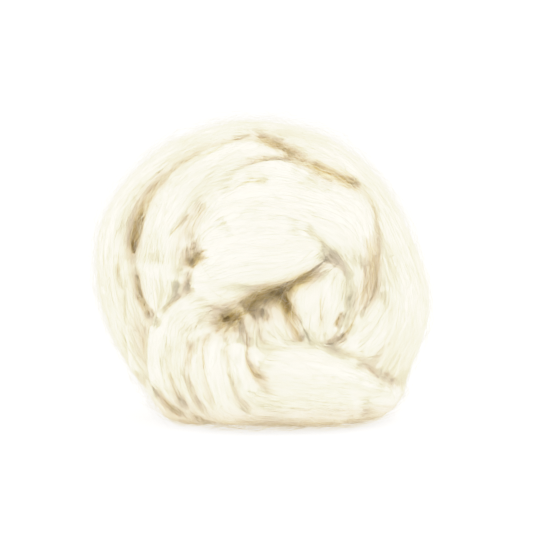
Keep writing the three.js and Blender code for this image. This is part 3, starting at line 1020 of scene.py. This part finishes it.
def lap_material():
    mat, tree, shader, add = nodes_for("silk_laps")
    link = tree.links.new
    place, deep, join_line = attribute(add, "lay"), attribute(add, "deep"), attribute(add, "seam")

    def streaks(across, along, detail):
        scaled = add("ShaderNodeVectorMath")
        scaled.operation = "MULTIPLY"
        scaled.inputs[1].default_value = (1 / across, 1 / across, 1 / along)
        link(place.outputs["Vector"], scaled.inputs[0])
        tex = add("ShaderNodeTexNoise", Scale=1.0, Detail=detail, Roughness=0.6)
        link(scaled.outputs[0], tex.inputs["Vector"])
        return tex

    broad, fine = streaks(2.4, 60, 3.0), streaks(0.5, 34, 4.0)
    colour = ramp(add, [(0.30, CREAM), (0.62, PALE)])
    link(broad.outputs["Fac"], colour.inputs["Fac"])
    thread = ramp(add, [(0.30, STRAW), (0.50, PALE)])
    link(fine.outputs["Fac"], thread.inputs["Fac"])
    both = add("ShaderNodeMix")
    both.data_type = "RGBA"
    open_skin = add("ShaderNodeMapRange", From_Min=0.0, From_Max=1.0, To_Min=0.10, To_Max=0.0)
    link(join_line.outputs["Fac"], open_skin.inputs["Value"])
    link(open_skin.outputs["Result"], both.inputs["Factor"])
    link(colour.outputs["Color"], both.inputs[6])
    link(thread.outputs["Color"], both.inputs[7])
    # Base colour: the streaked silk colour with painted crease shade multiplied in.
    link(creased(add, link, both.outputs[2], deep), shader.inputs["Base Color"])
    rough = add("ShaderNodeMapRange", From_Min=0.25, From_Max=0.75, To_Min=0.46, To_Max=0.66)
    link(fine.outputs["Fac"], rough.inputs["Value"])
    link(rough.outputs["Result"], shader.inputs["Roughness"])
    bump = add("ShaderNodeBump", Distance=0.0006)
    lines = add("ShaderNodeMapRange", From_Min=0.0, From_Max=1.0, To_Min=0.4, To_Max=0.0)
    link(join_line.outputs["Fac"], lines.inputs["Value"])
    link(lines.outputs["Result"], bump.inputs["Strength"])
    link(fine.outputs["Fac"], bump.inputs["Height"])
    link(bump.outputs["Normal"], shader.inputs["Normal"])
    shader.inputs["Specular IOR Level"].default_value = 0.25
    shader.inputs["Subsurface Weight"].default_value = 0.15
    shader.inputs["Subsurface Radius"].default_value = (1.0, 0.7, 0.35)
    shader.inputs["Subsurface Scale"].default_value = 0.0015
    shader.inputs["Sheen Weight"].default_value = 0.15
    shader.inputs["Sheen Roughness"].default_value = 0.4
    return mat


def fibre_material():
    mat, tree, shader, add = nodes_for("silk_fibres")
    link = tree.links.new
    tone, deep = attribute(add, "tone"), attribute(add, "deep")
    colour = ramp(add, [(0.0, PALE), (0.6, CREAM), (1.0, STRAW)])
    link(tone.outputs["Fac"], colour.inputs["Fac"])
    # Base colour: the fibre's own tone with painted crease shade multiplied in.
    link(creased(add, link, colour.outputs["Color"], deep), shader.inputs["Base Color"])
    rough = add("ShaderNodeMapRange", From_Min=0.0, From_Max=1.0, To_Min=0.50, To_Max=0.65)
    link(tone.outputs["Fac"], rough.inputs["Value"])
    link(rough.outputs["Result"], shader.inputs["Roughness"])
    shader.inputs["Specular IOR Level"].default_value = 0.25
    shader.inputs["Sheen Weight"].default_value = 0.2
    shader.inputs["Sheen Roughness"].default_value = 0.4
    return mat


# ---------------------------------------------------------------- the ball
lap_silk, fibre_silk = lap_material(), fibre_material()
cell, cells_side = cells_of(len(quads))
order = np.lexsort((face_mid[:, 0], np.floor(face_mid[:, 2] / 1.2)))
place = np.empty_like(order)
place[order] = np.arange(len(order))
square = np.array([(0.1, 0.1), (0.9, 0.1), (0.9, 0.9), (0.1, 0.9)])
quad_uv = (cell[place][:, None] + square[None]) / cells_side
body = make_mesh(
    "wound_laps",
    points,
    quads,
    quad_uv.reshape(-1, 2),
    {"lay": lay, "deep": sheltered, "seam": seam},
    lap_silk,
)
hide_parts("roving_ball")

front = face_mid[:, 1] < 6
open_skin = 1.0 - 0.6 * face_shelter
fibre_piece("fibres_front_a", "laid", 3000, front * open_skin, fibre_silk)
fibre_piece("fibres_front_b", "laid", 3000, front * open_skin, fibre_silk)
fibre_piece("fibres_back", "laid", 3000, ~front * open_skin, fibre_silk)
from_middle = np.hypot(face_mid[:, 0], face_mid[:, 2] - 60)
fuzzy = 0.15 + 0.85 * ease((from_middle - 36) / 16)
fibre_piece("fibres_stray", "stray", 3600, 1.0 + front, fibre_silk)
fibre_piece("fibres_wisp", "wisp", 6500, fuzzy, fibre_silk)
# Bridges gather where the surface is sheltered and carries painted shade.
fibre_piece("fibres_bridge", "bridge", 3000, 0.12 * face_shelter**2 + face_shade**2, fibre_silk)
crease_piece("fibres_creases", fibre_silk)


# ---------------------------------------------------------------- stage
def plane(name, size):
    me = bpy.data.meshes.new(name)
    h = size / 2
    me.from_pydata([(-h, -h, 0), (h, -h, 0), (h, h, 0), (-h, h, 0)], [], [(0, 1, 2, 3)])
    ob = bpy.data.objects.new(name, me)
    bpy.context.scene.collection.objects.link(ob)
    return ob


floor = plane("floor", 12)
mat, tree, shader, add = nodes_for("floor_white")
shader.inputs["Base Color"].default_value = (0.55, 0.55, 0.55, 1)
shader.inputs["Roughness"].default_value = 0.9
shader.inputs["Specular IOR Level"].default_value = 0.1
shader.inputs["Emission Color"].default_value = (1, 1, 1, 1)
shader.inputs["Emission Strength"].default_value = 0.51
floor.data.materials.append(mat)

scene = bpy.context.scene
world = bpy.data.worlds.new("studio")
scene.world = world
world.use_nodes = True
world.node_tree.nodes["Background"].inputs["Color"].default_value = (1, 1, 1, 1)
world.node_tree.nodes["Background"].inputs["Strength"].default_value = 1.09


def soft_light(name, at, aim, size, power):
    lamp = bpy.data.lights.new(name, "AREA")
    lamp.energy = power
    lamp.size = size
    ob = bpy.data.objects.new(name, lamp)
    ob.location = at
    ob.rotation_mode = "QUATERNION"
    ob.rotation_quaternion = (Vector(aim) - Vector(at)).to_track_quat("-Z", "Y")
    scene.collection.objects.link(ob)


soft_light("key", (0.45, -0.55, 0.85), (0, 0, 0.06), 0.7, 3.0)
soft_light("fill_left", (-0.70, -0.60, 0.25), (0, 0, 0.06), 0.7, 1.3)
soft_light("rim_right", (0.98, 0.16, 0.32), (0, 0, 0.06), 0.7, 3.6)
soft_light("rim_left", (-0.98, 0.16, 0.30), (0, 0, 0.06), 0.7, 3.6)
soft_light("rim_top", (-0.05, 0.40, 1.00), (0, 0, 0.06), 0.7, 2.6)

# The camera looks a little down at the open face of the ball. The frame is 533 x 533,
# and one pixel is 0.418 mm at the ball's middle.
PIXEL, DISTANCE, DOWN = 0.418, 900.0, math.radians(5.0)
aim = np.array([0.836, 0.0, 62.3]) + TO_ORIGIN
look = np.array([0, math.cos(DOWN), -math.sin(DOWN)])
camera = bpy.data.objects.new("camera", bpy.data.cameras.new("camera"))
camera.location = Vector((aim - look * DISTANCE) / 1000)
camera.rotation_mode = "QUATERNION"
camera.rotation_quaternion = Vector(look).to_track_quat("-Z", "Y")
camera.data.sensor_width = 36
camera.data.lens = 36 * DISTANCE / (533 * PIXEL)
camera.data.clip_start = 0.01
scene.collection.objects.link(camera)
scene.camera = camera
scene.view_settings.view_transform = "Standard"
# A bright exposure with soft highlights.
scene.view_settings.use_curve_mapping = True
tone = scene.view_settings.curve_mapping
tone.use_clip = False
tone.extend = "EXTRAPOLATED"
curve = tone.curves[3]
curve.points[0].location = (0, 0)
curve.points[1].location = (1.04, 1.0)
for at, value in ((0.08, 0.1), (0.2, 0.26), (0.4, 0.55), (0.6, 0.80), (0.76, 0.905), (0.88, 0.945)):
    curve.points.new(at, value)
tone.update()
